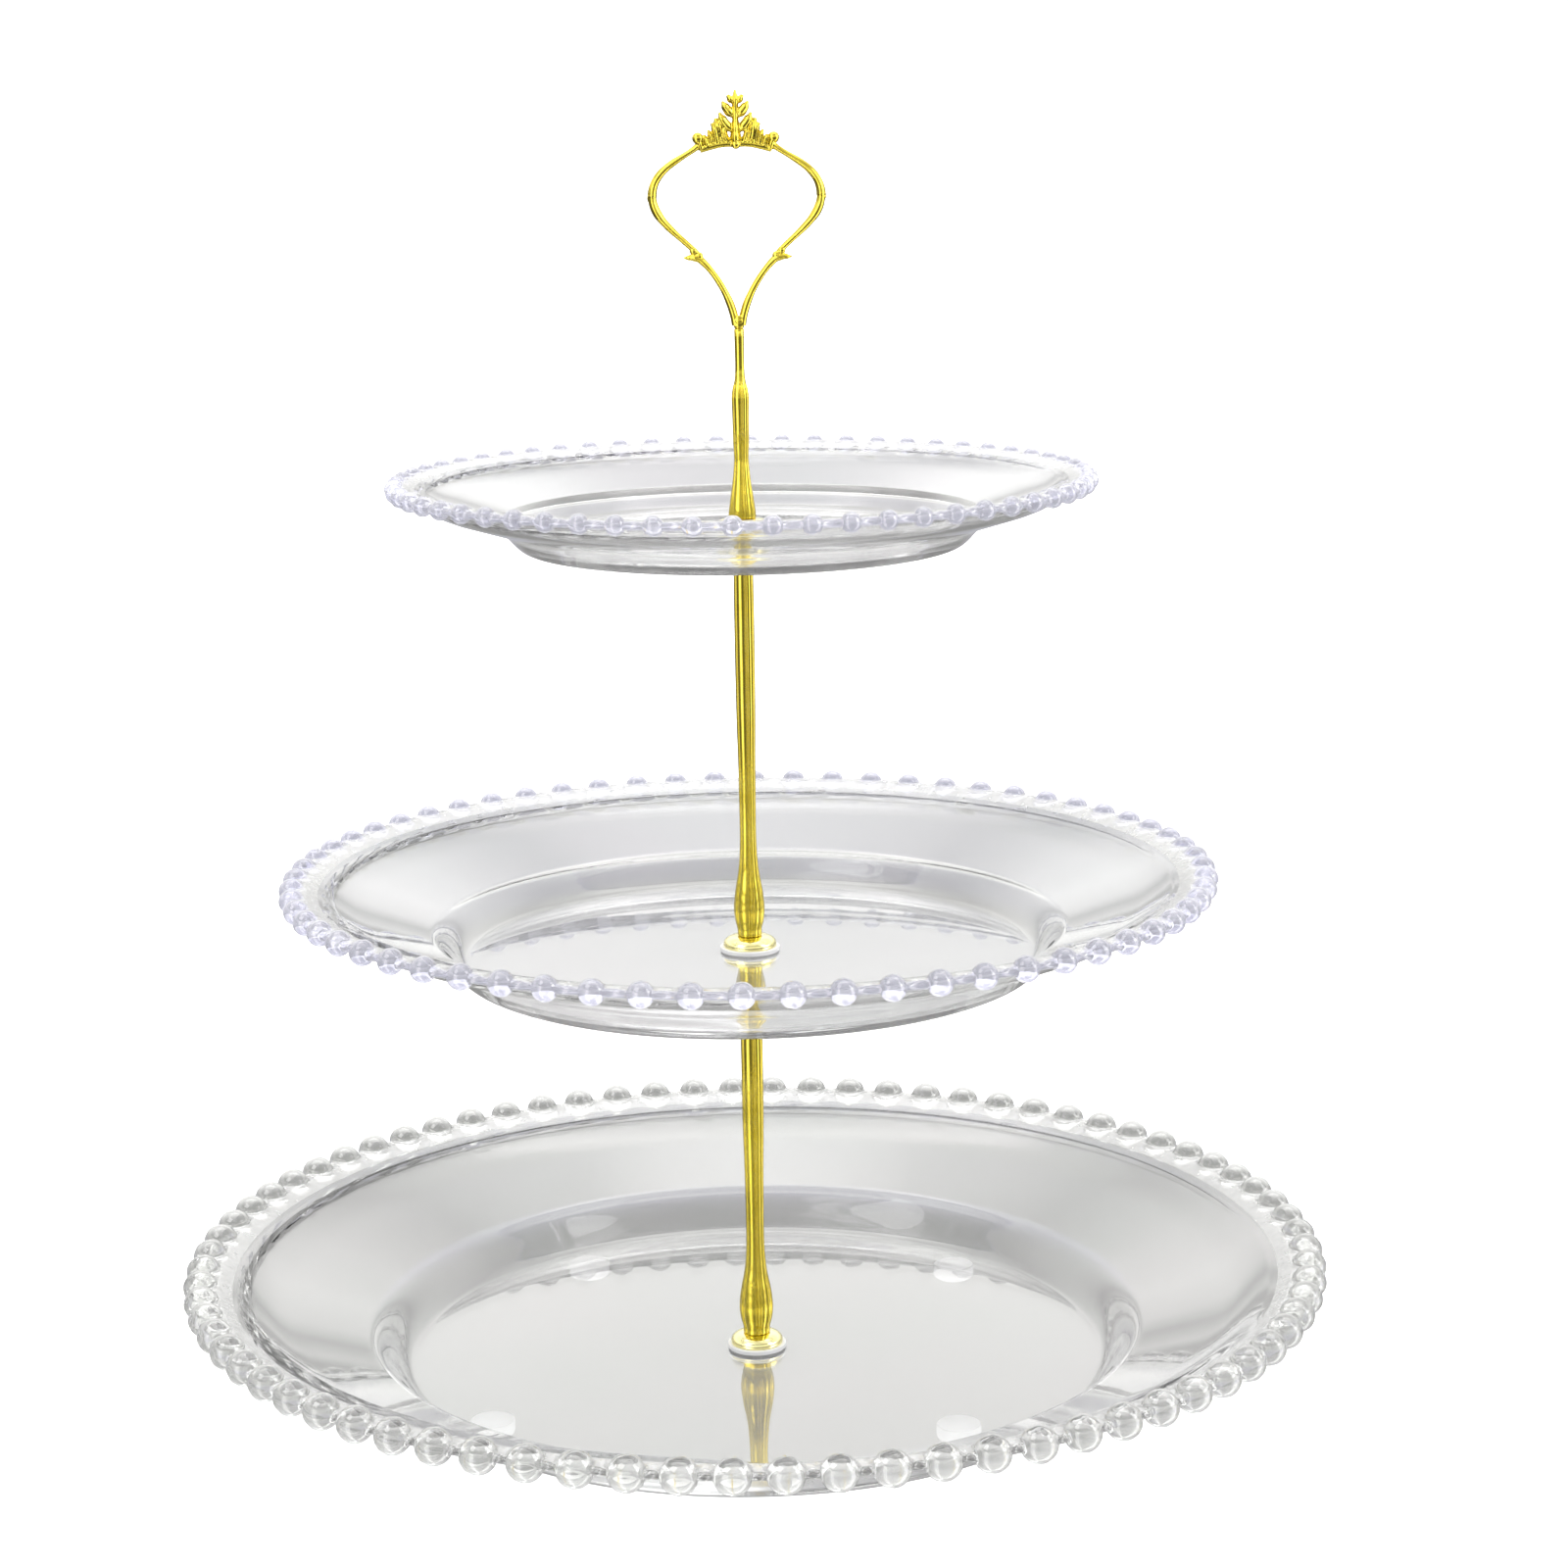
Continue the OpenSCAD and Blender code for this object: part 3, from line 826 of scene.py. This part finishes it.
def world_light():
    """A graded studio whose strength depends on the direction and on the kind of ray.

    Mirror reflections find it dimmer below the horizon and find bright strips there and a little
    above, except on the far side: that gives the gold its dark bands and long highlights.  Rays that
    go through glass after a reflection find the strips below the horizon.  The camera finds an even
    white wherever the world is darker than that.
    """
    world = bpy.data.worlds.new("studio")
    bpy.context.scene.world = world
    world.use_nodes = True
    tree = world.node_tree
    links = tree.links
    background = tree.nodes["Background"]
    coord = tree.nodes.new("ShaderNodeTexCoord")
    split = tree.nodes.new("ShaderNodeSeparateXYZ")
    links.new(coord.outputs["Generated"], split.inputs["Vector"])

    def math(operation, a, b=None, c=None):
        node = tree.nodes.new("ShaderNodeMath")
        node.operation = operation
        for socket, value in zip(node.inputs, (a, b, c)):
            if isinstance(value, (int, float)):
                socket.default_value = value
            elif value is not None:
                links.new(value, socket)
        return node.outputs[0]

    def ramp(fac, stops):
        node = tree.nodes.new("ShaderNodeValToRGB")
        elements = node.color_ramp.elements
        elements[0].position, elements[1].position = stops[0][0], stops[-1][0]
        for position, _ in stops[1:-1]:
            elements.new(position)
        for element, (_, value) in zip(elements, stops):
            element.color = (value, value, value, 1)
        links.new(fac, node.inputs["Fac"])
        return node.outputs["Color"]

    path = tree.nodes.new("ShaderNodeLightPath")
    in_glass = path.outputs["Is Transmission Ray"]
    mirrored = math("MULTIPLY", path.outputs["Is Glossy Ray"], math("SUBTRACT", 1, in_glass))
    up = math("MULTIPLY_ADD", split.outputs["Z"], 0.5, 0.5)
    away = math("MULTIPLY_ADD", split.outputs["Y"], 0.5, 0.5)
    not_high = math("LESS_THAN", split.outputs["Z"], 0.5)
    height = math("MULTIPLY", ramp(up, HEIGHT_STOPS), math("MAXIMUM", ramp(away, BACK_STOPS), not_high))
    around = math("ARCTAN2", split.outputs["X"], math("MULTIPLY", split.outputs["Y"], -1))
    wave = math("SINE", math("MULTIPLY_ADD", around, STRIPS, STRIPS_FIRST))
    strips = ramp(math("MULTIPLY_ADD", wave, 0.5, 0.5), STRIP_STOPS)
    near = ramp(away, NEAR_STOPS)
    low = math("LESS_THAN", split.outputs["Z"], -0.02)
    below = math("MULTIPLY", low, mirrored)
    dim = math("MULTIPLY_ADD", math("MULTIPLY", below, near), -0.55, 1)
    passed = math("MULTIPLY", math("MINIMUM", path.outputs["Glossy Depth"], 1), in_glass)
    lamps = math("LESS_THAN", split.outputs["Z"], STRIPS_TOP)
    found = math("ADD", math("MULTIPLY", lamps, mirrored), math("MULTIPLY", low, passed))
    seen = math("MULTIPLY", near, found)
    total = math("MULTIPLY_ADD", strips, seen, math("MULTIPLY", height, dim))
    backdrop = math("MULTIPLY", path.outputs["Is Camera Ray"], BACKDROP)
    links.new(math("MAXIMUM", total, backdrop), background.inputs["Strength"])
    tint = tree.nodes.new("ShaderNodeMix")
    tint.data_type = "RGBA"
    tint.inputs["A"].default_value = (0.93, 0.93, 1.06, 1)
    tint.inputs["B"].default_value = (1, 0.998, 0.975, 1)
    links.new(ramp(up, TINT_STOPS), tint.inputs["Factor"])
    links.new(tint.outputs["Result"], background.inputs["Color"])


camera()
floor_plane()
world_light()
area_light("key", (-0.9, -0.7, 1.5), LAMPS_LOOK_AT, (0.9, 0.9), 9)
area_light("fill", (1.2, -0.4, 0.9), LAMPS_LOOK_AT, (0.5, 1.0), 6)
bpy.context.scene.view_settings.view_transform = "Standard"
